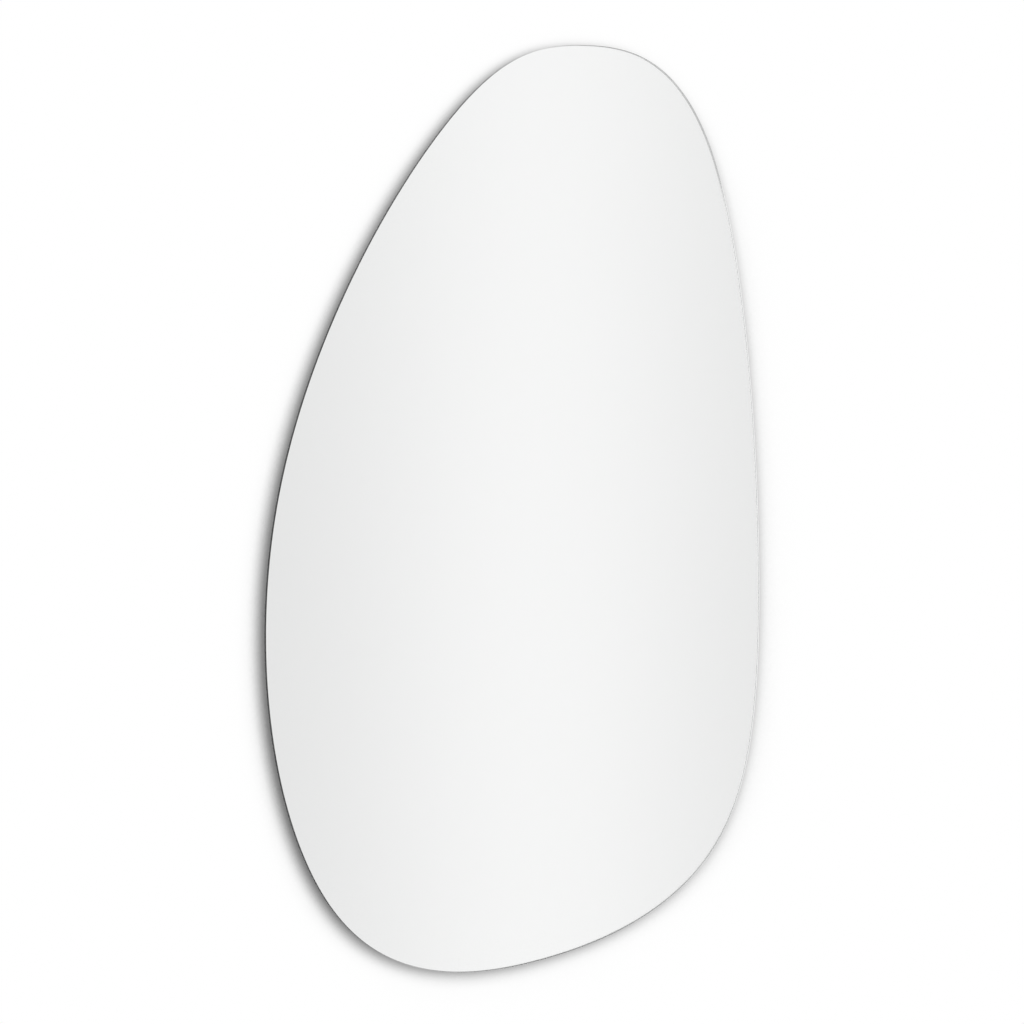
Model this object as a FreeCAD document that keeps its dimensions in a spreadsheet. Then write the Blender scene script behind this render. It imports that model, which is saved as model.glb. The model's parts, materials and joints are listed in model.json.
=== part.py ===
import FreeCAD, Part
import os
import Sketcher

# An irregular, pebble-shaped wall mirror with its hanging rails and spacers, in millimetres.
# X runs to the right as one looks at the mirror, Z is up, and the mirror faces -Y.
# The wall is the plane y = 0, and the origin is the middle of the wall rail's screw line.

document = FreeCAD.newDocument("irregular_mirror")
sheet = document.addObject("Spreadsheet::Sheet", "sizes")

size_rows = [
    # name, size, what it is
    ("mirror_width", 600.0, "glass, side to side"),
    ("mirror_height", 900.0, "glass, top to bottom"),
    ("glass_thickness", 3.0, "clear float glass"),
    ("arris", 0.3, "width of the polished corner, front and back"),
    ("silver_thickness", 0.1, "reflecting coat"),
    ("paint_thickness", 0.1, "protective coat over the silver"),
    ("film_thickness", 0.3, "safety film that holds broken glass"),
    ("coat_margin", 0.1, "silver and paint stop this far short of the back arris"),
    ("film_margin", 3.0, "the film stops this far short of the coats"),
    ("rail_drop", 225.0, "top of the glass down to the screw line"),
    ("balance_right", 15.3, "middle of the outline across to its balance point"),
    ("rail_wall", 1.6, "wall of both extruded rails"),
    ("rail_clearance", 0.3, "play at each hooked face of the rails"),
    ("rail_edge", 0.4, "rounding of the rails' free edges"),
    ("foot_below", 14.0, "wall flange below the screw line"),
    ("foot_above", 10.0, "wall flange above the screw line, to the top of its step"),
    ("lip_height", 12.0, "wall rail's lip above its step"),
    ("hook_reach", 10.0, "mirror rail's lip below the seat"),
    ("bond_height", 28.0, "bonded flange above the seat"),
    ("mirror_rail_length", 300.0, "mirror rail, end to end"),
    ("side_play", 12.0, "sideways play of the wall rail between the end caps, each way"),
    ("screw_hole", 5.2, "diameter of the four screw holes"),
    ("inner_spacing", 80.0, "between the inner pair of holes"),
    ("hole_setback", 30.0, "outer holes to the ends of the wall rail"),
    ("tape_thickness", 1.0, "foam tape and adhesive bead"),
    ("tape_width", 9.0, "each strip of foam tape"),
    ("tape_setback", 1.0, "strip to the edge of the flange, and to the end caps"),
    ("bead_width", 4.0, "adhesive bead between the strips"),
    ("bead_edge", 0.4, "rounding of the bead"),
    ("cap_wall", 0.8, "wall of the end caps round the rail"),
    ("cap_grip", 8.0, "length of rail inside a cap"),
    ("cap_end", 2.0, "closed end of a cap"),
    ("cap_edge", 0.4, "rounding of a cap's closed end"),
    ("spacer_base", 25.0, "rubber spacer's diameter at the mirror"),
    ("spacer_tip", 19.0, "rubber spacer's diameter at the wall"),
    ("spacer_edge", 1.5, "rounding of the spacer's tip"),
    ("spacer_spacing", 300.0, "between the two spacers"),
    ("spacer_rise", 115.0, "bottom of the glass up to the spacers"),
    ("pad_diameter", 22.0, "adhesive pad under a spacer"),
    ("pad_thickness", 0.9, "adhesive pad under a spacer"),
    # The outline is one closed smooth curve pulled towards eight control points. Each stands
    # at these ratios of the half width and the half height from the outline's middle.
    ("top_across_ratio", 0.155, "a little right of the middle at the top"),
    ("top_up_ratio", 1.011, "the same point"),
    ("shoulder_across_ratio", 0.879, "right shoulder"),
    ("shoulder_up_ratio", 1.006, "the same point"),
    ("hip_across_ratio", 1.061, "low on the right side"),
    ("hip_up_ratio", -0.361, "the same point"),
    ("heel_across_ratio", 0.875, "lower right corner"),
    ("heel_up_ratio", -0.874, "the same point"),
    ("base_across_ratio", 0.052, "bottom"),
    ("base_up_ratio", -1.031, "the same point"),
    ("toe_across_ratio", -0.89, "lower left corner"),
    ("toe_up_ratio", -0.976, "the same point"),
    ("belly_across_ratio", -1.144, "left side"),
    ("belly_up_ratio", 0.013, "the same point"),
    ("brow_across_ratio", -0.282, "upper left"),
    ("brow_up_ratio", 0.91, "the same point"),
]
outline_points = ["top", "shoulder", "hip", "heel", "base", "toe", "belly", "brow"]

for row, (alias, value, meaning) in enumerate(size_rows, start=1):
    sheet.set(f"A{row}", alias)
    sheet.set(f"B{row}", str(value))
    sheet.set(f"C{row}", meaning)
    sheet.setAlias(f"B{row}", alias)
document.recompute()

# Depths from the wall, worked out from the rails that hook into each other: the mirror rail's
# lip hangs behind the wall rail's lip, and its bonded flange passes in front of it.
mirror_lip_back = "(sizes.rail_wall + sizes.rail_clearance)"
mirror_lip_front = "(2 * sizes.rail_wall + sizes.rail_clearance)"
wall_lip_back = "(2 * sizes.rail_wall + 2 * sizes.rail_clearance)"
wall_lip_front = "(3 * sizes.rail_wall + 2 * sizes.rail_clearance)"
flange_back = "(3 * sizes.rail_wall + 3 * sizes.rail_clearance)"
flange_front = "(4 * sizes.rail_wall + 3 * sizes.rail_clearance)"
film_back = f"({flange_front} + sizes.tape_thickness)"
paint_back = f"({film_back} + sizes.film_thickness)"
silver_back = f"({paint_back} + sizes.paint_thickness)"
glass_back = f"({silver_back} + sizes.silver_thickness)"

# The seat is where the mirror rail rests on the wall rail's lip.
seat_height = "(sizes.foot_above + sizes.lip_height)"

coat_inset = "(sizes.arris + sizes.coat_margin)"
film_inset = f"({coat_inset} + sizes.film_margin)"

# Between the end caps there is room for the tapes and, with its play, for the wall rail.
between_caps = "(sizes.mirror_rail_length - 2 * sizes.cap_grip)"
tape_length = f"({between_caps} - 2 * sizes.tape_setback)"
wall_rail_length = f"({between_caps} - 2 * sizes.side_play)"
hole_spacings = {
    "inner": "sizes.inner_spacing",
    "outer": f"({wall_rail_length} - 2 * sizes.hole_setback)",
}

spacer_height = "(sizes.rail_drop - sizes.mirror_height + sizes.spacer_rise)"

sub_parts = []


def addSubPart(kind, name):
    """A new document object that is kept as a sub-part under its own label."""
    sub_part = document.addObject(kind, name)
    sub_part.Label = name
    sub_parts.append(sub_part)
    return sub_part


def place(sub_part, x="0", y="0", z="0"):
    """Ties the three coordinates of a sub-part's place to the sizes."""
    for axis, expression in (("x", x), ("y", y), ("z", z)):
        sub_part.setExpression(f"Placement.Base.{axis}", expression)


def addSketch(body, role, name):
    """A new sketch on one of the body's own origin planes."""
    plane = next(plane for plane in body.Origin.OriginFeatures if plane.Role == role)
    sketch = body.newObject("Sketcher::SketchObject", name)
    sketch.AttachmentSupport = [(plane, "")]
    sketch.MapMode = "FlatFace"
    return sketch


def tiePoint(sketch, geometry, point, name, across, up):
    """Ties one point of a sketch to two expressions, measured from the sketch's origin."""
    for kind, expression in (("DistanceX", across), ("DistanceY", up)):
        value = float(sketch.evalExpression(expression))
        index = sketch.addConstraint(Sketcher.Constraint(kind, -1, 1, geometry, point, value))
        sketch.renameConstraint(index, f"{name}_{kind}")
        sketch.setExpression(f"Constraints.{name}_{kind}", expression)


def drawPolygon(sketch, corners):
    """A closed polygon whose corners are pairs of expressions."""
    points = [
        FreeCAD.Vector(float(sketch.evalExpression(across)), float(sketch.evalExpression(up)), 0)
        for across, up in corners
    ]
    count = len(points)
    lines = [
        sketch.addGeometry(Part.LineSegment(points[i], points[(i + 1) % count]), False)
        for i in range(count)
    ]
    for i in range(count):
        next_line = lines[(i + 1) % count]
        sketch.addConstraint(Sketcher.Constraint("Coincident", lines[i], 2, next_line, 1))
    for i, (across, up) in enumerate(corners):
        tiePoint(sketch, lines[i], 1, f"corner_{i + 1}", across, up)


def drawOutline(sketch, inset):
    """The mirror's outline, drawn in by the inset at its top, bottom and sides."""
    poles = [
        (
            f"sizes.{name}_across_ratio * (sizes.mirror_width / 2 - {inset})",
            f"sizes.{name}_up_ratio * (sizes.mirror_height / 2 - {inset})",
        )
        for name in outline_points
    ]
    curve = Part.BSplineCurve()
    curve.buildFromPoles(
        [
            FreeCAD.Vector(float(sketch.evalExpression(across)), float(sketch.evalExpression(up)), 0)
            for across, up in poles
        ],
        True,
        3,
    )
    spline = sketch.addGeometry(curve, False)
    sketch.exposeInternalGeometry(spline)
    for i, (across, up) in enumerate(poles):
        tiePoint(sketch, spline + 1 + i, 3, outline_points[i], across, up)


def edgeNames(feature, wanted):
    """Names of the feature's edges for which wanted(edge) is true."""
    return [f"Edge{i}" for i, edge in enumerate(feature.Shape.Edges, start=1) if wanted(edge)]


def endsAt(edge, axis, value):
    """True for an edge that lies wholly in the plane axis = value."""
    return all(abs(getattr(vertex.Point, axis) - value) < 1e-4 for vertex in edge.Vertexes)


def runsAlong(edge):
    """True for an edge that runs along the length of a rail or a bead."""
    return edge.BoundBox.XLength > edge.BoundBox.YLength + edge.BoundBox.ZLength


def makeSheet(name, inset, thickness, back):
    """One sheet of the mirror: the outline padded from its back towards the front."""
    body = addSubPart("PartDesign::Body", name)
    sketch = addSketch(body, "XZ_Plane", f"{name}_outline")
    drawOutline(sketch, inset)
    pad = body.newObject("PartDesign::Pad", f"{name}_pad")
    pad.Profile = sketch
    pad.setExpression("Length", thickness)
    sketch.Visibility = False
    place(
        body,
        x="-sizes.balance_right",
        y=f"-{back}",
        z="sizes.rail_drop - sizes.mirror_height / 2",
    )
    document.recompute()
    return body, pad


def makeGlass():
    """The glass pane, its front and back rims ground to a small arris."""
    body, pad = makeSheet("mirror_glass", "0", "sizes.glass_thickness", glass_back)
    front = -float(body.evalExpression("sizes.glass_thickness"))
    arris = body.newObject("PartDesign::Chamfer", "mirror_glass_arris")
    arris.Base = (pad, edgeNames(pad, lambda edge: endsAt(edge, "y", 0) or endsAt(edge, "y", front)))
    arris.setExpression("Size", "sizes.arris")
    document.recompute()


def makeExtrusion(name, corners, length, tip_heights):
    """A rail: its section padded along X, the free edges of its two flanges rounded."""
    body = addSubPart("PartDesign::Body", name)
    sketch = addSketch(body, "YZ_Plane", f"{name}_section")
    drawPolygon(sketch, corners)
    pad = body.newObject("PartDesign::Pad", f"{name}_pad")
    pad.Profile = sketch
    pad.setExpression("Length", length)
    place(body, x=f"-{length} / 2")
    document.recompute()
    heights = [float(body.evalExpression(height)) for height in tip_heights]
    rounding = body.newObject("PartDesign::Fillet", f"{name}_edges")
    rounding.Base = (
        pad,
        edgeNames(pad, lambda edge: runsAlong(edge) and any(endsAt(edge, "z", z) for z in heights)),
    )
    rounding.setExpression("Radius", "sizes.rail_edge")
    document.recompute()
    return body


def makeWallRail():
    """The rail that is screwed to the wall: a foot flange, a step and an upturned lip."""
    corners = [
        ("0", "-sizes.foot_below"),
        ("0", "sizes.foot_above"),
        (f"-{wall_lip_back}", "sizes.foot_above"),
        (f"-{wall_lip_back}", seat_height),
        (f"-{wall_lip_front}", seat_height),
        (f"-{wall_lip_front}", "sizes.foot_above - sizes.rail_wall"),
        ("-sizes.rail_wall", "sizes.foot_above - sizes.rail_wall"),
        ("-sizes.rail_wall", "-sizes.foot_below"),
    ]
    body = makeExtrusion(
        "wall_rail", corners, wall_rail_length, ["-sizes.foot_below", seat_height]
    )
    blank = body.Shape.Volume
    sketch = addSketch(body, "XZ_Plane", "wall_rail_screw_points")
    radius = float(sketch.evalExpression("sizes.screw_hole / 2"))
    for pair, spacing in hole_spacings.items():
        for side, sign in (("left", "-"), ("right", "+")):
            across = f"{wall_rail_length} / 2 {sign} {spacing} / 2"
            centre = FreeCAD.Vector(float(sketch.evalExpression(across)), 0, 0)
            circle = sketch.addGeometry(Part.Circle(centre, FreeCAD.Vector(0, 0, 1), radius), False)
            index = sketch.addConstraint(Sketcher.Constraint("Radius", circle, radius))
            sketch.renameConstraint(index, f"{pair}_{side}_radius")
            sketch.setExpression(f"Constraints.{pair}_{side}_radius", "sizes.screw_hole / 2")
            tiePoint(sketch, circle, 3, f"{pair}_{side}", across, "0")
    document.recompute()
    holes = body.newObject("PartDesign::Hole", "wall_rail_screw_holes")
    holes.Profile = sketch
    document.recompute()
    holes.ThreadType = 0
    holes.DepthType = "ThroughAll"
    holes.Reversed = True
    holes.setExpression("Diameter", "sizes.screw_hole")
    document.recompute()
    if not body.Shape.Volume < blank:
        raise RuntimeError("the screw holes cut nothing")


def mirrorRailSection(grow="0"):
    """Corners of the mirror rail's section, pushed outwards all round by grow."""
    corners = [
        (mirror_lip_back, "+", f"{seat_height} - sizes.hook_reach", "-"),
        (mirror_lip_back, "+", f"{seat_height} + sizes.rail_wall", "+"),
        (flange_back, "+", f"{seat_height} + sizes.rail_wall", "+"),
        (flange_back, "+", f"{seat_height} + sizes.bond_height", "+"),
        (flange_front, "-", f"{seat_height} + sizes.bond_height", "+"),
        (flange_front, "-", seat_height, "-"),
        (mirror_lip_front, "-", seat_height, "-"),
        (mirror_lip_front, "-", f"{seat_height} - sizes.hook_reach", "-"),
    ]
    return [
        (f"-{depth} {outwards} {grow}", f"{height} {upwards} {grow}")
        for depth, outwards, height, upwards in corners
    ]


def makeMirrorRail():
    """The rail bonded to the mirror: a downturned lip, a step and a tall bonded flange."""
    makeExtrusion(
        "mirror_rail",
        mirrorRailSection(),
        "sizes.mirror_rail_length",
        [f"{seat_height} - sizes.hook_reach", f"{seat_height} + sizes.bond_height"],
    )


def makeEndCap(name, side):
    """A plastic sleeve, closed at its outer end, pushed over one end of the mirror rail."""
    body = addSubPart("PartDesign::Body", name)
    outside = addSketch(body, "YZ_Plane", f"{name}_outside")
    drawPolygon(outside, mirrorRailSection("sizes.cap_wall"))
    pad = body.newObject("PartDesign::Pad", f"{name}_pad")
    pad.Profile = outside
    pad.Reversed = side < 0
    pad.setExpression("Length", "sizes.cap_grip + sizes.cap_end")
    document.recompute()
    block = body.Shape.Volume

    inside = addSketch(body, "YZ_Plane", f"{name}_inside")
    drawPolygon(inside, mirrorRailSection())
    socket = body.newObject("PartDesign::Pocket", f"{name}_socket")
    socket.Profile = inside
    socket.Reversed = side > 0
    socket.setExpression("Length", "sizes.cap_grip")
    document.recompute()
    if not body.Shape.Volume < block:
        raise RuntimeError(f"the socket of {name} cuts nothing")

    end = side * float(body.evalExpression("sizes.cap_grip + sizes.cap_end"))
    rounding = body.newObject("PartDesign::Fillet", f"{name}_edges")
    rounding.Base = (socket, edgeNames(socket, lambda edge: endsAt(edge, "x", end)))
    rounding.setExpression("Radius", "sizes.cap_edge")
    place(body, x=f"{side} * (sizes.mirror_rail_length / 2 - sizes.cap_grip)")
    document.recompute()


def makeTape(name, height):
    """A strip of foam tape between the mirror rail's flange and the safety film."""
    tape = addSubPart("Part::Box", name)
    tape.setExpression("Length", tape_length)
    tape.setExpression("Width", "sizes.tape_thickness")
    tape.setExpression("Height", "sizes.tape_width")
    place(tape, x=f"-{tape_length} / 2", y=f"-{film_back}", z=height)
    document.recompute()


def makeBead():
    """The bead of adhesive that is pressed flat between the two strips of tape."""
    body = addSubPart("PartDesign::Body", "rail_adhesive_bead")
    sketch = addSketch(body, "YZ_Plane", "bead_section")
    middle = f"({seat_height} + sizes.bond_height / 2)"
    corners = [
        (f"-{flange_front}", f"{middle} - sizes.bead_width / 2"),
        (f"-{flange_front}", f"{middle} + sizes.bead_width / 2"),
        (f"-{film_back}", f"{middle} + sizes.bead_width / 2"),
        (f"-{film_back}", f"{middle} - sizes.bead_width / 2"),
    ]
    drawPolygon(sketch, corners)
    pad = body.newObject("PartDesign::Pad", "bead_pad")
    pad.Profile = sketch
    pad.setExpression("Length", tape_length)
    document.recompute()
    rounding = body.newObject("PartDesign::Fillet", "bead_edges")
    rounding.Base = (pad, edgeNames(pad, runsAlong))
    rounding.setExpression("Radius", "sizes.bead_edge")
    place(body, x=f"-{tape_length} / 2")
    document.recompute()


def makeSpacer(name, side):
    """A rubber spacer that keeps the foot of the mirror parallel to the wall."""
    body = addSubPart("PartDesign::Body", name)
    sketch = addSketch(body, "XY_Plane", f"{name}_profile")
    base = f"-({film_back} - sizes.pad_thickness)"
    corners = [
        ("0", "0"),
        ("0", base),
        ("sizes.spacer_base / 2", base),
        ("sizes.spacer_tip / 2", "0"),
    ]
    drawPolygon(sketch, corners)
    turn = body.newObject("PartDesign::Revolution", f"{name}_turn")
    turn.Profile = sketch
    turn.ReferenceAxis = (sketch, ["V_Axis"])
    turn.Angle = 360
    document.recompute()
    rounding = body.newObject("PartDesign::Fillet", f"{name}_edge")
    rounding.Base = (turn, edgeNames(turn, lambda edge: edge.Closed and endsAt(edge, "y", 0)))
    rounding.setExpression("Radius", "sizes.spacer_edge")
    place(body, x=f"{side} * sizes.spacer_spacing / 2", z=spacer_height)
    document.recompute()


def makeSpacerPad(name, side):
    """The adhesive pad between a spacer and the safety film."""
    pad = addSubPart("Part::Cylinder", name)
    pad.Placement.Rotation = FreeCAD.Rotation(FreeCAD.Vector(1, 0, 0), 90)
    pad.setExpression("Radius", "sizes.pad_diameter / 2")
    pad.setExpression("Height", "sizes.pad_thickness")
    place(
        pad,
        x=f"{side} * sizes.spacer_spacing / 2",
        y=f"-({film_back} - sizes.pad_thickness)",
        z=spacer_height,
    )
    document.recompute()


makeGlass()
makeSheet("silver_coating", coat_inset, "sizes.silver_thickness", silver_back)
makeSheet("protective_paint", coat_inset, "sizes.paint_thickness", paint_back)
makeSheet("safety_film", film_inset, "sizes.film_thickness", film_back)
makeMirrorRail()
makeTape("rail_tape_lower", f"{seat_height} + sizes.tape_setback")
makeTape(
    "rail_tape_upper",
    f"{seat_height} + sizes.bond_height - sizes.tape_setback - sizes.tape_width",
)
makeBead()
makeWallRail()
for side_name, side in (("left", -1), ("right", 1)):
    makeEndCap(f"rail_cap_{side_name}", side)
    makeSpacer(f"spacer_{side_name}", side)
    makeSpacerPad(f"spacer_pad_{side_name}", side)

document.recompute()
for item in document.Objects:
    if "Invalid" in item.State or "Error" in item.State:
        raise RuntimeError(f"{item.Name} failed: {item.State}")

os.makedirs("parts", exist_ok=True)
for sub_part in sub_parts:
    shape = sub_part.Shape
    if shape.isNull() or not shape.isValid():
        raise RuntimeError(f"{sub_part.Label} has no valid shape")
    shape.exportStep(f"parts/{sub_part.Label}.step")
    print(sub_part.Label, shape.BoundBox, round(shape.Volume, 1))
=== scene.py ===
import json
import math

import bmesh
import bpy
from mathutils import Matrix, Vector


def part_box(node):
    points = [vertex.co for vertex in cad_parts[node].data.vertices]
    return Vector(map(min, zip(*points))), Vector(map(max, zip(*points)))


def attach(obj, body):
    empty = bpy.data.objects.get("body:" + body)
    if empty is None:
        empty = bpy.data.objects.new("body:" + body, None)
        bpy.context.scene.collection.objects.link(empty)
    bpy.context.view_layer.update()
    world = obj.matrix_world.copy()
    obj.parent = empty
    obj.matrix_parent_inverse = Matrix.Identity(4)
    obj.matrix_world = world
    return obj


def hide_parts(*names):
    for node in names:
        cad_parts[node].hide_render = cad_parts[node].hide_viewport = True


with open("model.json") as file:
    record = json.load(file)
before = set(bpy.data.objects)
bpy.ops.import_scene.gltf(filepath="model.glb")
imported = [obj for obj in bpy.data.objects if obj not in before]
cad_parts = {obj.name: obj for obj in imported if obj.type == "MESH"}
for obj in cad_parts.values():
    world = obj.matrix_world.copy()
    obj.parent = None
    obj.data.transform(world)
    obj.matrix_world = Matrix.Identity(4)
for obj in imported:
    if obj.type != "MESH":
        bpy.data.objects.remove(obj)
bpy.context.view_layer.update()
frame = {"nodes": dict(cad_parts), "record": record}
print("frame loaded:", len(frame["nodes"]), "nodes")

mm = 0.001


class Wire:
    # one output socket: sums, products and the like on it add Math nodes to its tree
    def __init__(self, tree, socket):
        self.tree = tree
        self.socket = socket

    def maths(self, operation, *values):
        settings = {"operation": operation}
        return self.tree.node("ShaderNodeMath", settings, dict(enumerate(values)))["Value"]

    def __add__(self, other):
        return self.maths("ADD", self, other)

    def __radd__(self, other):
        return self.maths("ADD", other, self)

    def __sub__(self, other):
        return self.maths("SUBTRACT", self, other)

    def __rsub__(self, other):
        return self.maths("SUBTRACT", other, self)

    def __mul__(self, other):
        return self.maths("MULTIPLY", self, other)

    def __rmul__(self, other):
        return self.maths("MULTIPLY", other, self)

    def __truediv__(self, other):
        return self.maths("DIVIDE", self, other)

    def __rtruediv__(self, other):
        return self.maths("DIVIDE", other, self)

    def __pow__(self, other):
        return self.maths("POWER", self, other)

    def __rpow__(self, other):
        return self.maths("POWER", other, self)

    def __neg__(self):
        return self.maths("MULTIPLY", self, -1.0)

    def sine(self):
        return self.maths("SINE", self)

    def size(self):
        return self.maths("ABSOLUTE", self)

    def rounded(self):
        return self.maths("ROUND", self)

    def most(self, other):
        return self.maths("MAXIMUM", self, other)

    def rise(self, low, high):
        # 0 below low, 1 above high, smooth between
        settings = {"interpolation_type": "SMOOTHSTEP"}
        sockets = {"Value": self, "From Min": low, "From Max": high}
        return self.tree.node("ShaderNodeMapRange", settings, sockets)["Result"]

    def bell(self, width):
        # 1 at 0, falling off both ways as a bell curve of that width
        away = self / width
        return math.e ** -(away * away)


class Tree:
    def __init__(self, nodeTree):
        self.nodeTree = nodeTree

    def node(self, kind, settings=None, sockets=None):
        # settings first, because they decide which sockets the node shows
        made = self.nodeTree.nodes.new(kind)
        for name, value in (settings or {}).items():
            if name == "items":
                for _ in range(value - len(made.index_switch_items)):
                    made.index_switch_items.new()
            else:
                setattr(made, name, value)
        shown = [socket for socket in made.inputs if socket.enabled]
        for key, value in (sockets or {}).items():
            named = [socket for socket in shown if socket.name == key]
            target = shown[key] if isinstance(key, int) else named[0]
            for given in value if isinstance(value, list) else [value]:
                if isinstance(given, Wire):
                    self.nodeTree.links.new(given.socket, target)
                else:
                    target.default_value = given
        outputs = [socket for socket in made.outputs if socket.enabled]
        return {socket.name: Wire(self, socket) for socket in reversed(outputs)}

    def mix(self, factor, first, second):
        settings = {"data_type": "RGBA"}
        sockets = {"Factor": factor, "A": (*first, 1.0) if isinstance(first, tuple) else first}
        sockets["B"] = (*second, 1.0) if isinstance(second, tuple) else second
        return self.node("ShaderNodeMix", settings, sockets)["Result"]

    def scaled(self, vector, factor):
        sockets = {0: vector, "Scale": factor}
        return self.node("ShaderNodeVectorMath", {"operation": "SCALE"}, sockets)["Vector"]

    def parts(self, vector):
        made = self.node("ShaderNodeSeparateXYZ", sockets={0: vector})
        return made["X"], made["Y"], made["Z"]

    def vector(self, x, y, z):
        return self.node("ShaderNodeCombineXYZ", sockets={"X": x, "Y": y, "Z": z})["Vector"]

    def place(self):
        # object coordinates in millimetres
        return self.scaled(self.node("ShaderNodeTexCoord")["Object"], 1 / mm)

    def grain(self, where, scale, detail=3.0, roughness=0.55):
        sockets = {"Vector": where, "Scale": scale, "Detail": detail, "Roughness": roughness}
        return self.node("ShaderNodeTexNoise", {}, sockets)["Fac"]

    def bump(self, height, strength, distance):
        # the distance is in metres
        sockets = {"Height": height, "Strength": strength, "Distance": distance}
        return self.node("ShaderNodeBump", {}, sockets)["Normal"]

    def surface(self, sockets):
        # a Principled surface, as what a material puts out
        return {"Surface": self.node("ShaderNodeBsdfPrincipled", {}, sockets)["BSDF"]}


def newMaterial(name, build):
    material = bpy.data.materials.new(name)
    material.use_nodes = True
    material.node_tree.nodes.clear()
    tree = Tree(material.node_tree)
    tree.node("ShaderNodeOutputMaterial", {}, build(tree))
    return material


glassFinish = {
    "ior": 1.52,
    "tint": (0.90, 0.94, 0.93),
    "absorption": 6.0,           # per metre, which darkens only long ways through the edge
    "polishRoughness": 0.05,     # of the ground and polished edge
    "polishShares": (0.4, 1.2),  # of that roughness: the least, and what the lines add
    "grindLines": 26.0,          # per millimetre across the edge
    "grindStretch": 0.02,        # the same along the edge
}


def buildGlass(tree):
    edge = tree.node("ShaderNodeAttribute", {"attribute_name": "groundEdge"})["Fac"]
    across = tree.node("ShaderNodeAttribute", {"attribute_name": "acrossEdge"})["Fac"]
    x, _, z = tree.parts(tree.place())
    stretch = glassFinish["grindStretch"]
    streak = tree.vector(x * stretch, z * stretch, across * glassFinish["grindLines"])
    lines = tree.grain(streak, scale=1.0, detail=4.0)
    least, added = glassFinish["polishShares"]
    output = tree.surface({
        "Base Color": (1.0, 1.0, 1.0, 1.0),
        "Roughness": edge * (glassFinish["polishRoughness"] * (least + added * lines)),
        "IOR": glassFinish["ior"],
        "Transmission Weight": 1.0,
        "Normal": tree.bump(lines * edge, strength=0.12, distance=0.00002),
    })
    output["Volume"] = tree.node("ShaderNodeVolumeAbsorption", {}, {
        "Color": (*glassFinish["tint"], 1.0),
        "Density": glassFinish["absorption"],
    })["Volume"]
    return output


def buildSilver(tree):
    cloud = tree.grain(tree.place(), scale=0.004, detail=2.0)
    return tree.surface({
        "Base Color": tree.mix(cloud, (0.955, 0.958, 0.956), (0.962, 0.964, 0.962)),
        "Metallic": 1.0,
        "Roughness": 0.0,
    })


def buildBackPaint(tree):
    where = tree.place()
    cloud = tree.grain(where, scale=0.012, detail=4.0)
    speckle = tree.grain(where, scale=1.3, detail=2.0)
    peel = tree.grain(where, scale=0.45, detail=2.0)
    colour = tree.mix(cloud, (0.19, 0.215, 0.225), (0.25, 0.275, 0.285))
    return tree.surface({
        "Base Color": tree.mix(speckle.rise(0.62, 0.7), colour, (0.33, 0.35, 0.355)),
        "Roughness": 0.46 + 0.22 * cloud,
        "Normal": tree.bump(peel, strength=0.25, distance=0.0003),
    })


filmFinish = {
    "threadPitch": 6.0,   # millimetres between the strong threads
    "threadWidth": 0.9,
    "weavePitch": 1.2,
    # how high each part of its relief stands beside the others
    "threadRise": 0.6,
    "weaveRise": 0.15,
    "streakRise": 0.7,
    "bubbleRise": 1.2,
}


def buildFilm(tree):
    where = tree.place()
    x, y, z = tree.parts(where)
    slant = math.sqrt(0.5)
    rising = (x + z) * slant
    falling = (z - x) * slant

    def thread(along):
        # 1 on the middle of each thread, 0 a thread's width away
        pitch = filmFinish["threadPitch"]
        edge = math.sin(math.pi * filmFinish["threadWidth"] / pitch)
        return 1.0 - (along * (math.pi / pitch)).sine().size().rise(0.0, edge)

    threads = thread(rising).most(thread(falling))
    wave = math.pi / filmFinish["weavePitch"]
    weave = (rising * wave).sine() * (falling * wave).sine()
    streaks = tree.grain(tree.vector(x * 0.02, y, z * 0.003), scale=1.0, detail=4.0)
    cloud = tree.grain(where, scale=0.008, detail=3.0)
    bubbles = tree.grain(where, scale=0.06, detail=2.0).rise(0.66, 0.74)
    colour = tree.mix(cloud, (0.50, 0.52, 0.53), (0.58, 0.60, 0.61))
    height = (
        threads * filmFinish["threadRise"] + weave * filmFinish["weaveRise"]
        + streaks * filmFinish["streakRise"] + bubbles * filmFinish["bubbleRise"]
    )
    return tree.surface({
        "Base Color": tree.mix(threads * 0.6, colour, (0.70, 0.715, 0.72)),
        "Roughness": 0.42 + 0.2 * streaks - 0.08 * threads,
        "Normal": tree.bump(height, strength=0.5, distance=0.0002),
    })


def buildAluminium(tree):
    # die lines along the rail, broad bands of them, and a few scuffs across
    x, y, z = tree.parts(tree.place())
    fine = tree.vector(x * 0.004, y * 1.6, z * 1.6)
    dieLines = tree.grain(fine, scale=1.0, detail=5.0, roughness=0.7)
    broad = tree.grain(tree.vector(x * 0.01, y * 0.2, z * 0.2), scale=1.0, detail=2.0)
    rubbed = tree.vector(x * 0.3, y * 0.3, z * 0.05)
    scuffs = tree.grain(rubbed, scale=1.0, detail=6.0, roughness=0.75).rise(0.62, 0.74)
    colour = tree.mix(dieLines.rise(0.3, 0.7), (0.58, 0.59, 0.605), (0.80, 0.805, 0.815))
    return tree.surface({
        "Base Color": tree.mix(scuffs * 0.5, colour, (0.88, 0.88, 0.885)),
        "Metallic": 1.0,
        "Roughness": 0.22 + 0.2 * dieLines + 0.14 * broad + 0.08 * scuffs,
        "Normal": tree.bump(dieLines, strength=0.4, distance=0.0002),
    })


def buildFoam(tree):
    where = tree.place()
    pores = tree.node("ShaderNodeTexVoronoi", {}, {"Vector": where, "Scale": 2.2})["Distance"]
    cloud = tree.grain(where, scale=0.2, detail=3.0)
    # painted shade: the colour is darker down in the pores, where the bump is low
    return tree.surface({
        "Base Color": tree.mix(pores.rise(0.0, 0.5), (0.012, 0.012, 0.013), (0.045, 0.045, 0.048)),
        "Roughness": 0.82 + 0.12 * cloud,
        "Normal": tree.bump(pores, strength=0.6, distance=0.0002),
    })


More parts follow.
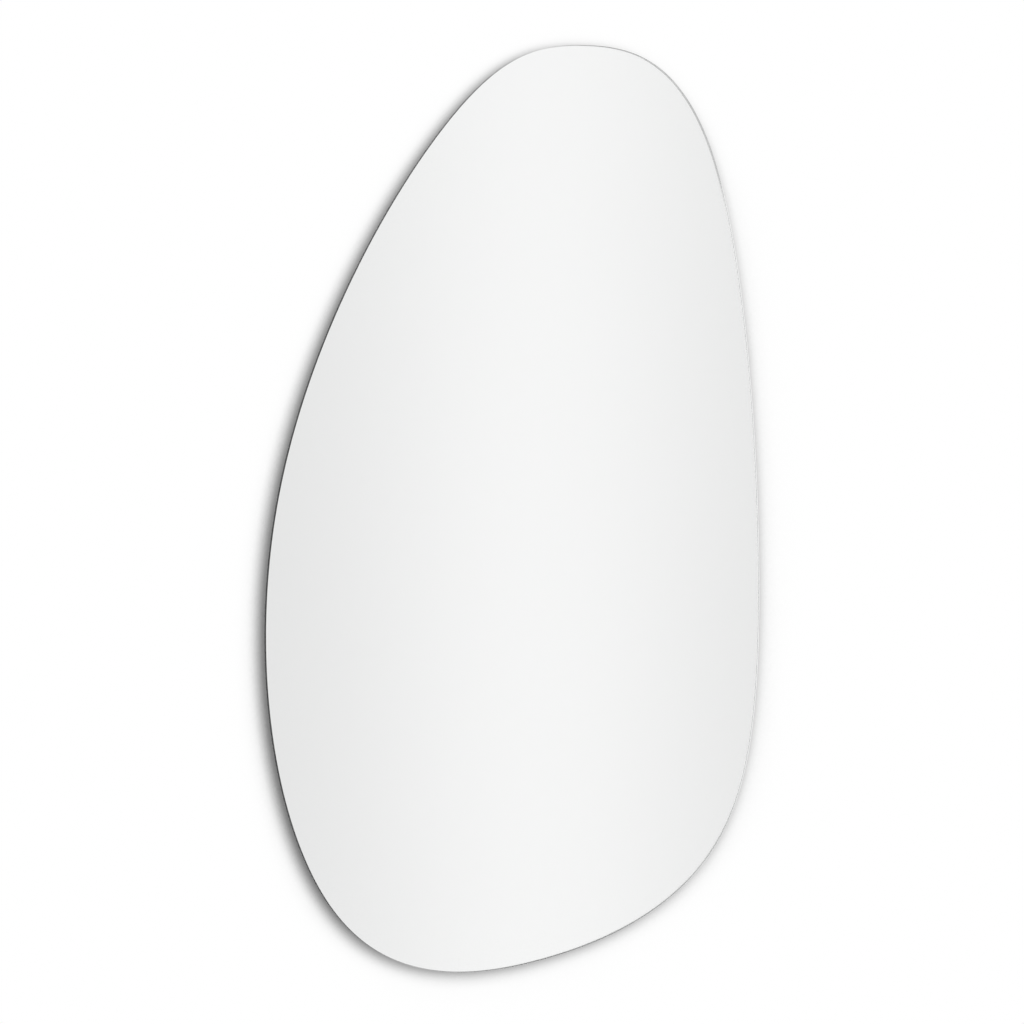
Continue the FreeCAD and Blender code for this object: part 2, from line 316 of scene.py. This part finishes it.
def buildAdhesive(tree):
    ripple = tree.grain(tree.place(), scale=0.35, detail=3.0)
    return tree.surface({
        "Base Color": tree.mix(ripple, (0.66, 0.655, 0.62), (0.80, 0.795, 0.77)),
        "Roughness": 0.32 + 0.16 * ripple,
        "Normal": tree.bump(ripple, strength=0.5, distance=0.0004),
    })


def buildCapPlastic(tree):
    where = tree.place()
    erosion = tree.grain(where, scale=3.2, detail=3.0, roughness=0.7)
    cloud = tree.grain(where, scale=0.15, detail=2.0)
    return tree.surface({
        "Base Color": tree.mix(cloud, (0.030, 0.030, 0.032), (0.044, 0.044, 0.047)),
        "Roughness": 0.46 + 0.18 * erosion,
        "Normal": tree.bump(erosion, strength=0.45, distance=0.0001),
    })


def buildRubber(tree):
    where = tree.place()
    skin = tree.grain(where, scale=2.4, detail=3.0)
    bloom = tree.grain(where, scale=0.25, detail=4.0).rise(0.45, 0.75)
    return tree.surface({
        "Base Color": tree.mix(bloom, (0.011, 0.011, 0.011), (0.034, 0.034, 0.035)),
        "Roughness": 0.66 + 0.2 * bloom,
        "Normal": tree.bump(skin, strength=0.3, distance=0.0001),
    })


finishes = {
    "clear_glass": newMaterial("clearGlass", buildGlass),
    "silver": newMaterial("mirrorSilver", buildSilver),
    "back_paint": newMaterial("backPaint", buildBackPaint),
    "film": newMaterial("wovenFilm", buildFilm),
    "aluminium_rail": newMaterial("millAluminium", buildAluminium),
    "foam_tape": newMaterial("closedCellFoam", buildFoam),
    "adhesive": newMaterial("mirrorAdhesive", buildAdhesive),
    "cap_plastic": newMaterial("erodedPlastic", buildCapPlastic),
    "spacer_rubber": newMaterial("mattRubber", buildRubber),
}
slotOf = {part["node"]: part["material_slot"] for part in frame["record"]["subparts"]}
bodyOf = {
    node: body
    for body, nodes in frame["record"]["behaviour"]["bodies"].items()
    for node in nodes
}
print("finishes made:", len(finishes))


def pieceName(node):
    first, *others = node.split("_")
    return first + "".join(word.capitalize() for word in others)


def takePlace(mesh, node):
    # a new piece that stands for this CAD node, in its body and its finish
    piece = bpy.data.objects.new(pieceName(node), mesh)
    mesh.name = piece.name
    bpy.context.scene.collection.objects.link(piece)
    if not mesh.materials:
        mesh.materials.append(finishes[slotOf[node]])
    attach(piece, bodyOf[node])
    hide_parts(node)


def plainMesh(holder, group, values):
    # what a Geometry Nodes tree makes on this holder, as a mesh of its own
    modifier = holder.modifiers.new("maker", "NODES")
    modifier.node_group = group
    for item in group.interface.items_tree:
        if item.in_out == "INPUT" and item.name in values:
            modifier[item.identifier] = values[item.name]
    bpy.context.scene.collection.objects.link(holder)
    graph = bpy.context.evaluated_depsgraph_get()
    mesh = bpy.data.meshes.new_from_object(holder.evaluated_get(graph))
    bpy.data.objects.remove(holder)
    return mesh


def newGroup(name, inputs):
    group = bpy.data.node_groups.new(name, "GeometryNodeTree")
    for label, kind in inputs.items():
        group.interface.new_socket(label, in_out="INPUT", socket_type="NodeSocket" + kind)
    group.interface.new_socket("Piece", in_out="OUTPUT", socket_type="NodeSocketGeometry")
    tree = Tree(group)
    return group, tree, tree.node("NodeGroupInput")


def finishGroup(tree, shape, finish):
    real = tree.node("GeometryNodeRealizeInstances", {}, {"Geometry": shape})["Geometry"]
    sockets = {"Geometry": real, "Material": finish}
    finished = tree.node("GeometryNodeSetMaterial", {}, sockets)["Geometry"]
    tree.node("NodeGroupOutput", {}, {"Piece": finished})


outline = {
    # control points of the closed curve, as shares of its half width and half height
    "points": [
        (0.155, 1.011),    # top
        (0.879, 1.006),    # right shoulder
        (1.061, -0.361),   # low on the right side
        (0.875, -0.874),   # lower right corner
        (0.052, -1.031),   # bottom
        (-0.89, -0.976),   # lower left corner
        (-1.144, 0.013),   # left side
        (-0.282, 0.91),    # upper left
    ],
    "order": 4,
    "resolution": 96,
    "samples": 640,
    "finer": 4,            # times as many samples, to find the curve's own box
}

sheets = {
    # each sheet's edge: width of its corners' bevel and their rounding, millimetres
    "mirror_glass": {"arris": 0.15, "rounding": 0.06},
    "silver_coating": {"arris": 0.02, "rounding": 0.005},
    "protective_paint": {"arris": 0.03, "rounding": 0.01},
    "safety_film": {"arris": 0.08, "rounding": 0.04},
}
silverBite = 0.03 * mm  # the silver starts this deep in the glass, so that no air lies between
landShare = 0.25        # flat strip of a face that belongs to the edge, as a share of the arris
roundingSteps = 3
weldDistance = 0.000002  # metres, for the seam between the edge and the faces


def sheetGroup():
    group, tree, given = newGroup("sheetFromOutline", {
        "Outline": "Geometry", "Width": "Float", "Height": "Float", "Thickness": "Float",
        "Arris": "Float", "Rounding": "Float", "Samples": "Int", "Back Middle": "Vector",
        "Finish": "Material",
    })
    arris, thickness = given["Arris"], given["Thickness"]
    inset = arris * (1 + landShare)

    # the outline brought to the sheet's width and height, on even steps
    fine = tree.node("GeometryNodeResampleCurve", {}, {
        "Curve": given["Outline"], "Count": given["Samples"] * outline["finer"],
    })["Curve"]
    box = tree.node("GeometryNodeBoundBox", {}, {"Geometry": fine, "Use Radius": False})
    left, bottom, _ = tree.parts(box["Min"])
    right, top, _ = tree.parts(box["Max"])
    position = tree.node("GeometryNodeInputPosition")["Position"]
    across, up, _ = tree.parts(position)
    sized = tree.vector(
        (across - (left + right) / 2) * given["Width"] / (right - left),
        (up - (bottom + top) / 2) * given["Height"] / (top - bottom),
        0.0,
    )
    drawn = tree.node("GeometryNodeSetPosition", {}, {"Geometry": fine, "Position": sized})
    even = tree.node("GeometryNodeResampleCurve", {}, {
        "Curve": drawn["Geometry"], "Count": given["Samples"],
    })["Curve"]
    rail = tree.node("GeometryNodeSetCurveNormal", {"mode": "Z_UP"}, {"Curve": even})["Curve"]

    # the edge's section, from the back face over the back arris, the side and the front arris
    inwards = [inset, arris, 0.0, 0.0, arris, inset]
    forwards = [0.0, 0.0, arris, thickness - arris, thickness, thickness]
    corners = {
        i + 1: tree.vector(inward, -1.0 * forward, 0.0)
        for i, (inward, forward) in enumerate(zip(inwards, forwards))
    }
    number = tree.node("GeometryNodeInputIndex")["Index"]
    switch = {"data_type": "VECTOR", "items": len(inwards)}
    corner = tree.node("GeometryNodeIndexSwitch", switch, {0: number, **corners})["Output"]
    dots = tree.node("GeometryNodePoints", {}, {
        "Count": len(inwards), "Position": corner,
    })["Points"]
    section = tree.node("GeometryNodePointsToCurves", {}, {"Points": dots})["Curves"]
    rounded = tree.node("GeometryNodeFilletCurve", {"mode": "POLY"}, {
        "Curve": section, "Count": roundingSteps, "Radius": given["Rounding"],
    })["Curve"]
    onPoints = {"data_type": "FLOAT", "domain": "POINT"}
    marked = tree.node("GeometryNodeStoreNamedAttribute", onPoints, {
        "Geometry": rounded, "Name": "acrossEdge", "Value": up / mm,
    })["Geometry"]
    band = tree.node("GeometryNodeCurveToMesh", {}, {
        "Curve": rail, "Profile Curve": marked,
    })["Mesh"]
    smooth = tree.node("GeometryNodeSetShadeSmooth", {}, {"Geometry": band, "Shade Smooth": True})
    onFaces = {"data_type": "FLOAT", "domain": "FACE"}
    ground = tree.node("GeometryNodeStoreNamedAttribute", onFaces, {
        "Geometry": smooth["Geometry"], "Name": "groundEdge", "Value": 1.0,
    })["Geometry"]

    # the two faces
    normal = tree.node("GeometryNodeInputNormal")["Normal"]
    inner = tree.node("GeometryNodeSetPosition", {}, {
        "Geometry": rail, "Offset": tree.scaled(normal, inset),
    })["Geometry"]
    face = tree.node("GeometryNodeFillCurve", {"mode": "NGONS"}, {"Curve": inner})["Mesh"]
    front = tree.node("GeometryNodeTransform", {}, {
        "Geometry": face, "Translation": tree.vector(0.0, 0.0, thickness),
    })["Geometry"]
    back = tree.node("GeometryNodeFlipFaces", {}, {"Mesh": face})["Mesh"]
    joined = tree.node("GeometryNodeJoinGeometry", {}, {0: [back, front, ground]})["Geometry"]
    closed = tree.node("GeometryNodeMergeByDistance", {}, {
        "Geometry": joined, "Distance": weldDistance,
    })["Geometry"]
    stood = tree.node("GeometryNodeTransform", {}, {
        "Geometry": closed,
        "Translation": given["Back Middle"],
        "Rotation": (math.pi / 2, 0.0, 0.0),
    })["Geometry"]
    finishGroup(tree, stood, given["Finish"])
    return group


def outlineHolder():
    curve = bpy.data.curves.new("outline", "CURVE")
    curve.dimensions = "3D"
    spline = curve.splines.new("NURBS")
    spline.points.add(len(outline["points"]) - 1)
    for point, (across, up) in zip(spline.points, outline["points"]):
        point.co = (across, up, 0.0, 1.0)
    spline.order_u = outline["order"]
    spline.use_cyclic_u = True
    spline.resolution_u = outline["resolution"]
    return bpy.data.objects.new("outline", curve)


def makeSheets():
    group = sheetGroup()
    for node, edge in sheets.items():
        low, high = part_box(node)
        bite = silverBite if node == "silver_coating" else 0.0
        mesh = plainMesh(outlineHolder(), group, {
            "Width": high.x - low.x,
            "Height": high.z - low.z,
            "Thickness": high.y - low.y + bite,
            "Arris": edge["arris"] * mm,
            "Rounding": edge["rounding"] * mm,
            "Samples": outline["samples"],
            "Back Middle": ((low.x + high.x) / 2, high.y, (low.z + high.z) / 2),
            "Finish": finishes[slotOf[node]],
        })
        takePlace(mesh, node)
    print("glass, coats and film made:", len(sheets))


makeSheets()

eased = {
    # node: width of the small bevel on its sharp edges, millimetres
    "wall_rail": 0.15,
    "mirror_rail": 0.15,
    "rail_cap_left": 0.15,
    "rail_cap_right": 0.15,
    "rail_tape_lower": 0.2,
    "rail_tape_upper": 0.2,
    "spacer_pad_left": 0.12,
    "spacer_pad_right": 0.12,
}
easing = {
    "weldWithin": 0.001,  # millimetres
    "flatWithin": 0.5,    # degrees, between facets that count as one face
    "bevelFrom": 40,      # degrees, across an edge that is bevelled
    "creaseFrom": 30,     # degrees, across an edge that stays a crease in the shading
    "bevelSteps": 2,
    "wideFace": 0.6,      # millimetres
}


def easeEdges(node, width):
    # a merged copy of a CAD node with its sharp edges bevelled
    mesh = frame["nodes"][node].data.copy()
    mesh.materials.clear()
    work = bmesh.new()
    work.from_mesh(mesh)
    bmesh.ops.remove_doubles(work, verts=work.verts, dist=easing["weldWithin"] * mm)
    flat = math.radians(easing["flatWithin"])
    bmesh.ops.dissolve_limit(work, angle_limit=flat, verts=work.verts, edges=work.edges)

    def bent(edge, degrees):
        return len(edge.link_faces) == 2 and edge.calc_face_angle() > math.radians(degrees)

    sharp = [edge for edge in work.edges if bent(edge, easing["bevelFrom"])]
    bmesh.ops.bevel(
        work, geom=sharp, offset=width * mm, offset_type="OFFSET",
        segments=easing["bevelSteps"], profile=0.5, affect="EDGES", clamp_overlap=True,
    )
    # wide faces stay flat, and the narrow ones of bevels and rounds are smooth
    for face in work.faces:
        face.smooth = 2 * face.calc_area() / face.calc_perimeter() < easing["wideFace"] * mm
    for edge in work.edges:
        edge.smooth = not bent(edge, easing["creaseFrom"])
    work.to_mesh(mesh)
    work.free()
    takePlace(mesh, node)


for node, width in eased.items():
    easeEdges(node, width)
print("rails, caps, tapes and pads eased:", len(eased))

bead = {
    "waviness": 0.11,    # share of its width that the squeezed edge wanders
    "waveLength": 9.0,   # millimetres
    "corner": 0.3,       # rounding of its section, millimetres
    "cornerSteps": 4,
    "swing": 3.0,        # how fully the noise is spread out
    "sideShift": 7.3,    # between the noise of its two sides
    "samples": 420,
    "seed": 4.7,
}


def beadGroup():
    group, tree, given = newGroup("squeezedBead", {
        "Holder": "Geometry", "Length": "Float", "Width": "Float", "Thickness": "Float",
        "Corner": "Float", "Waviness": "Float", "Wave Length": "Float", "Seed": "Float",
        "Samples": "Int", "Middle": "Vector", "Finish": "Material",
    })
    half = given["Length"] / 2
    line = tree.node("GeometryNodeCurvePrimitiveLine", {}, {
        "Start": tree.vector(0.0, 0.0, -1.0 * half), "End": tree.vector(0.0, 0.0, half),
    })["Curve"]
    path = tree.node("GeometryNodeResampleCurve", {}, {"Curve": line, "Count": given["Samples"]})
    section = tree.node("GeometryNodeCurvePrimitiveQuadrilateral", {}, {
        "Width": given["Width"] / (1 + bead["waviness"]), "Height": given["Thickness"],
    })["Curve"]
    rounded = tree.node("GeometryNodeFilletCurve", {"mode": "POLY"}, {
        "Curve": section, "Count": bead["cornerSteps"], "Radius": given["Corner"],
    })["Curve"]
    swept = tree.node("GeometryNodeCurveToMesh", {}, {
        "Curve": path["Curve"], "Profile Curve": rounded, "Fill Caps": True,
    })["Mesh"]
    # laid along X, then its two long edges wander, each in its own way
    laid = tree.node("GeometryNodeTransform", {}, {
        "Geometry": swept, "Rotation": (0.0, math.pi / 2, 0.0),
    })["Geometry"]
    position = tree.node("GeometryNodeInputPosition")["Position"]
    along, deep, up = tree.parts(position)
    side = up.maths("SIGN", up)
    lane = side * bead["sideShift"] + given["Seed"]
    noise = tree.node("ShaderNodeTexNoise", {"noise_dimensions": "2D"}, {
        "Vector": tree.vector(along / given["Wave Length"], lane, 0.0),
        "Scale": 1.0, "Detail": 2.0,
    })["Fac"]
    wander = 1.0 + given["Waviness"] * ((noise - 0.5) * bead["swing"]).sine()
    pressed = tree.node("GeometryNodeSetPosition", {}, {
        "Geometry": laid, "Position": tree.vector(along, deep, up * wander),
    })["Geometry"]
    smooth = tree.node("GeometryNodeSetShadeSmooth", {}, {
        "Geometry": pressed, "Shade Smooth": True,
    })
    placed = tree.node("GeometryNodeTransform", {}, {
        "Geometry": smooth["Geometry"], "Translation": given["Middle"],
    })["Geometry"]
    finishGroup(tree, placed, given["Finish"])
    return group


def makeBead(node):
    low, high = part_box(node)
    holder = bpy.data.objects.new("bead", bpy.data.meshes.new("bead"))
    mesh = plainMesh(holder, beadGroup(), {
        "Length": high.x - low.x,
        "Width": high.z - low.z,
        "Thickness": high.y - low.y,
        "Corner": bead["corner"] * mm,
        "Waviness": bead["waviness"],
        "Wave Length": bead["waveLength"] * mm,
        "Seed": bead["seed"],
        "Samples": bead["samples"],
        "Middle": (low + high) / 2,
        "Finish": finishes[slotOf[node]],
    })
    takePlace(mesh, node)
    print("adhesive bead laid")


makeBead("rail_adhesive_bead")

spacer = {
    # a turned rubber foot, millimetres; its overall size comes from the CAD node
    "tipRadius": 9.5,
    "tipEdge": 1.5,
    "rimEdge": 0.3,
    "grooveUp": 1.3,      # from the pad to the middle of the ring groove
    "grooveRadius": 0.4,
    "grooveLip": 0.05,    # of the side's last ring before the groove
    "sideRings": (0.4, 0.6),     # shares of the height
    "dimpleRadius": 3.0,  # of the moulding dimple in the tip
    "dimpleDepth": 0.7,
    "dimpleRings": (0.8, 0.15),  # flat rings round the dimple
    "rimSteps": 4,
    "arcSteps": 8,
    "steps": 96,
}


def arcPoints(middle, radius, fromAngle, toAngle, steps):
    turns = [math.radians(fromAngle + (toAngle - fromAngle) * i / steps) for i in range(steps + 1)]
    return [(middle[0] + radius * math.cos(a), middle[1] + radius * math.sin(a)) for a in turns]


def spacerProfile(radius, height):
    # distance from the axis and height above the pad, from the pad's middle out and round
    tip, edge, rim = spacer["tipRadius"], spacer["tipEdge"], spacer["rimEdge"]
    lean = math.degrees(math.atan2(radius - tip, height))  # of the side, off the axis

    def sideAt(up):
        return radius - (radius - tip) * up / height

    points = [(0.0, 0.0), (radius - 3 * rim, 0.0)]
    points += arcPoints((radius - rim, rim), rim, -90, lean, spacer["rimSteps"])
    up = spacer["grooveUp"]
    steps = spacer["arcSteps"]
    groove = arcPoints((sideAt(up), up), spacer["grooveRadius"], 270 - lean, 90 + lean, steps)
    points += [(sideAt(groove[0][1]), groove[0][1] - spacer["grooveLip"]), *groove]
    points += [(sideAt(share * height), share * height) for share in spacer["sideRings"]]
    # the tip's edge, tangent to the side and to the flat end
    across = tip - edge / math.tan(math.radians((90 + lean) / 2))
    points += arcPoints((across, height - edge), edge, lean, 90, steps)
    dimple, depth = spacer["dimpleRadius"], spacer["dimpleDepth"]
    points += [(dimple + ring, height) for ring in spacer["dimpleRings"]]
    bowl = (dimple * dimple + depth * depth) / (2 * depth)
    reach = math.degrees(math.asin(dimple / bowl))
    points += arcPoints((0.0, height + bowl - depth), bowl, -90 + reach, -90, steps)
    points[-1] = (0.0, height - depth)
    return points


def makeSpacer(node):
    low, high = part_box(node)
    middle = (low + high) / 2
    profile = spacerProfile((high.x - low.x) / 2 / mm, (high.y - low.y) / mm)
    steps = spacer["steps"]
    work = bmesh.new()
    rings = []
    for radius, up in profile:
        y = low.y + up * mm
        turns = [2 * math.pi * i / steps for i in range(steps)] if radius > 0 else [0.0]
        rings.append([
            work.verts.new((
                middle.x + radius * mm * math.cos(turn), y, middle.z + radius * mm * math.sin(turn)
            ))
            for turn in turns
        ])
    for inner, outer in zip(rings, rings[1:]):
        for i in range(steps):
            corners = [
                inner[i % len(inner)], inner[(i + 1) % len(inner)],
                outer[(i + 1) % len(outer)], outer[i % len(outer)],
            ]
            work.faces.new(list(dict.fromkeys(corners))).smooth = True
    bmesh.ops.recalc_face_normals(work, faces=work.faces)
    mesh = bpy.data.meshes.new(node)
    work.to_mesh(mesh)
    work.free()
    takePlace(mesh, node)


for node in ("spacer_left", "spacer_right"):
    makeSpacer(node)
print("spacers turned")

studio = {
    "wallBehind": 0.4 * mm,  # just behind the rail and the spacers' tips
    "wallSize": 12.0,
    "floorHeight": -1.8,
    "floorTone": 1.0,
    # Painted shadow: the wall is an emission, darkened where the mirror shuts out two soft lobes
    # of light, from the left and from the right, both a little above; no lamp casts it. Each: the
    # direction it comes from, and the power on the share of it that the mirror lets by.
    "leftLight": ((-2.65, -1.0, 0.58), 2.12),
    "rightLight": ((1.46, -1.0, 0.39), 1.21),
    "wallTone": 1.70,        # past white, which is reached a little way off the mirror
    "shoulder": 14.0,        # how sharply the tone bends off at white
    "darkest": 0.01,
    "shadowReach": 0.4,
    "shadowSamples": 16,
    "railZone": (165.0, 18.0, 50.0, 20.0),  # half width, middle height, half height, fade, mm
}


def buildWall(tree):
    # painted shadow: the wall's emission falls with ambient occlusion towards two leaning
    # directions, which paints the mirror's contact shadow
    strength = studio["wallTone"]
    for direction, power in (studio["leftLight"], studio["rightLight"]):
        towards = tree.vector(*Vector(direction).normalized())
        share = tree.node("ShaderNodeAmbientOcclusion", {"samples": studio["shadowSamples"]}, {
            "Distance": studio["shadowReach"], "Normal": towards,
        })["AO"]
        strength = strength * share ** power
    bend = studio["shoulder"]
    paint = tree.node("ShaderNodeEmission", {}, {
        "Color": (1.0, 1.0, 1.0, 1.0),
        "Strength": (1.0 + strength.most(studio["darkest"]) ** -bend) ** (-1 / bend),
    })["Emission"]
    # the wall's back is clear, neither side takes part in the lighting, and the rails, which
    # stand a hair before it, don't reflect it
    clear = tree.node("ShaderNodeBsdfTransparent")["BSDF"]
    ray = tree.node("ShaderNodeLightPath")
    behind = tree.node("ShaderNodeNewGeometry")["Backfacing"]
    x, _, z = tree.parts(tree.place())
    across, middle, up, fade = studio["railZone"]
    away = (x.size() - across).most((z - middle).size() - up).rise(0.0, fade)
    seen = ray["Is Camera Ray"].most(ray["Is Transmission Ray"]).most(ray["Is Glossy Ray"] * away)
    surface = tree.node("ShaderNodeMixShader", {}, {0: seen * (1.0 - behind), 1: clear, 2: paint})
    return {"Surface": surface["Shader"]}


def buildFloor(tree):
    tone = studio["floorTone"]
    paint = tree.node("ShaderNodeEmission", {}, {"Color": (tone, tone, tone, 1.0)})["Emission"]
    clear = tree.node("ShaderNodeBsdfTransparent")["BSDF"]
    seen = tree.node("ShaderNodeLightPath")["Is Camera Ray"]
    surface = tree.node("ShaderNodeMixShader", {}, {0: seen, 1: clear, 2: paint})
    return {"Surface": surface["Shader"]}


def stagePlane(name, corners, material):
    mesh = bpy.data.meshes.new(name)
    mesh.from_pydata(corners, [], [(0, 1, 2, 3)])
    mesh.materials.append(material)
    plane = bpy.data.objects.new(name, mesh)
    bpy.context.scene.collection.objects.link(plane)
    return plane


def makeStage():
    half, depth, floor = studio["wallSize"] / 2, studio["wallBehind"], studio["floorHeight"]
    stagePlane("wall", [
        (-half, depth, floor), (half, depth, floor), (half, depth, half), (-half, depth, half),
    ], newMaterial("wallWhitePaintedShadow", buildWall))
    ground = stagePlane("floor", [
        (-half, -half, floor), (half, -half, floor), (half, half, floor), (-half, half, floor),
    ], newMaterial("floorWhite", buildFloor))
    ground.visible_glossy = False
    ground.visible_transmission = False


room = {
    # what stands before the mirror, as it reflects it
    "tone": 0.79,           # pale grey walls
    "windowLight": 0.172,   # how much lighter the tall soft windows are
    "windowAzimuth": 38.1,  # degrees right of straight ahead, the one that the photo shows
    "windowSpacing": 40.0,
    "windowWidth": 6.0,
    # what only the glass's edges show of the room's front half
    "sideLight": 0.17,      # a soft light at the left
    "sideAzimuth": -47.0,
    "sideWidth": 13.0,
    "edgeLight": 0.05,      # of the ceiling and floor on the right
    "edgeFrom": (15.0, 30.0),     # degrees up or down
    "aheadFrom": (24.0, 34.0),    # degrees right, where that part starts
    "rugShade": 0.24,       # how much darker the floor left of that part is
    "rugFrom": (15.0, 20.0),      # degrees down
    "doorShade": 0.55,      # how much darker the far right is
    "doorFrom": (50.0, 60.0),     # degrees right
    # what the rails reflect of the back half, behind the mirror's plane
    "backFrom": (-0.05, 0.05),    # depth of a direction, from front to back
    "ceilingLight": 0.14,
    "ceilingFrom": (24.0, 55.0),  # degrees up
    "floorShade": 0.30,
    "floorFrom": (20.0, 45.0),    # degrees down
    "ambient": 0.62,        # level of the soft light that falls on everything
}


def makeWorld():
    world = bpy.data.worlds.new("studioRoom")
    bpy.context.scene.world = world
    world.use_nodes = True
    world.node_tree.nodes.clear()
    tree = Tree(world.node_tree)
    x, y, z = tree.parts(tree.node("ShaderNodeTexCoord")["Generated"])
    degrees = 180 / math.pi
    azimuth = x.maths("ARCTAN2", x, -y) * degrees
    height = z.maths("ARCSINE", z) * degrees
    turns = (azimuth - room["windowAzimuth"]) / room["windowSpacing"]
    window = ((turns - turns.rounded()) * room["windowSpacing"]).bell(room["windowWidth"])
    steep = height.size()
    above = 1.0 - (-height).rise(*room["rugFrom"])
    ahead = azimuth.rise(*room["aheadFrom"])
    door = azimuth.rise(*room["doorFrom"])
    before = (
        room["sideLight"] * (azimuth - room["sideAzimuth"]).bell(room["sideWidth"]) * above
        + room["edgeLight"] * steep.rise(*room["edgeFrom"]) * ahead
        - room["rugShade"] * (1.0 - above) * (1.0 - ahead)
        - room["doorShade"] * door
    )
    behind = (
        room["ceilingLight"] * height.rise(*room["ceilingFrom"])
        - room["floorShade"] * (-height).rise(*room["floorFrom"])
    )
    back = y.rise(*room["backFrom"])
    shown = room["tone"] + room["windowLight"] * window + before * (1.0 - back) + behind * back
    ray = tree.node("ShaderNodeLightPath")
    reflected = ray["Is Glossy Ray"].most(ray["Is Transmission Ray"])
    straight = ray["Is Camera Ray"]
    ambient = (1.0 - reflected) * (1.0 - straight) * room["ambient"]
    background = tree.node("ShaderNodeBackground", {}, {
        "Color": (1.0, 1.0, 1.0, 1.0), "Strength": straight + reflected * shown + ambient,
    })["Background"]
    tree.node("ShaderNodeOutputWorld", {}, {"Surface": background})


lamps = {
    # name: place, what it points at, size in metres, power in watts, seen in reflections
    "backKey": ((-1.3, 1.7, 1.1), (0.0, 0.0, -0.1), 1.0, 7.0, True),
    "backFill": ((1.6, 1.5, -0.7), (0.0, 0.0, -0.3), 1.2, 4.0, True),
    "frontKey": ((-1.4, -1.8, 1.2), (0.0, 0.0, -0.2), 1.2, 22.0, False),
}


def makeLamps():
    for name, (place, target, size, power, reflected) in lamps.items():
        data = bpy.data.lights.new(name, "AREA")
        data.size = size
        data.energy = power
        lamp = bpy.data.objects.new(name, data)
        lamp.location = place
        lamp.rotation_euler = (Vector(target) - Vector(place)).to_track_quat("-Z", "Y").to_euler()
        lamp.visible_camera = False
        lamp.visible_glossy = reflected
        lamp.visible_transmission = False
        bpy.context.scene.collection.objects.link(lamp)


camera = {
    "azimuth": 37.232,       # degrees to the mirror's left
    "distance": 1965.6 * mm,
    "aim": (-43.86 * mm, -238.5 * mm),  # across and up on the glass's front face
    "lens": 72.0,
    "sensor": 36.0,
}


def makeCamera():
    data = bpy.data.cameras.new("camera")
    data.lens = camera["lens"]
    data.sensor_width = camera["sensor"]
    data.dof.use_dof = False
    holder = bpy.data.objects.new("camera", data)
    bpy.context.scene.collection.objects.link(holder)
    turn = math.radians(camera["azimuth"])
    ahead = Vector((math.sin(turn), math.cos(turn), 0.0))
    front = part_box("mirror_glass")[0].y
    aim = Vector((camera["aim"][0], front, camera["aim"][1]))
    holder.location = aim - ahead * camera["distance"]
    holder.rotation_euler = (math.pi / 2, 0.0, -turn)
    bpy.context.scene.camera = holder


makeStage()
makeWorld()
makeLamps()
makeCamera()
bpy.context.scene.view_settings.view_transform = "Standard"
print("studio ready")
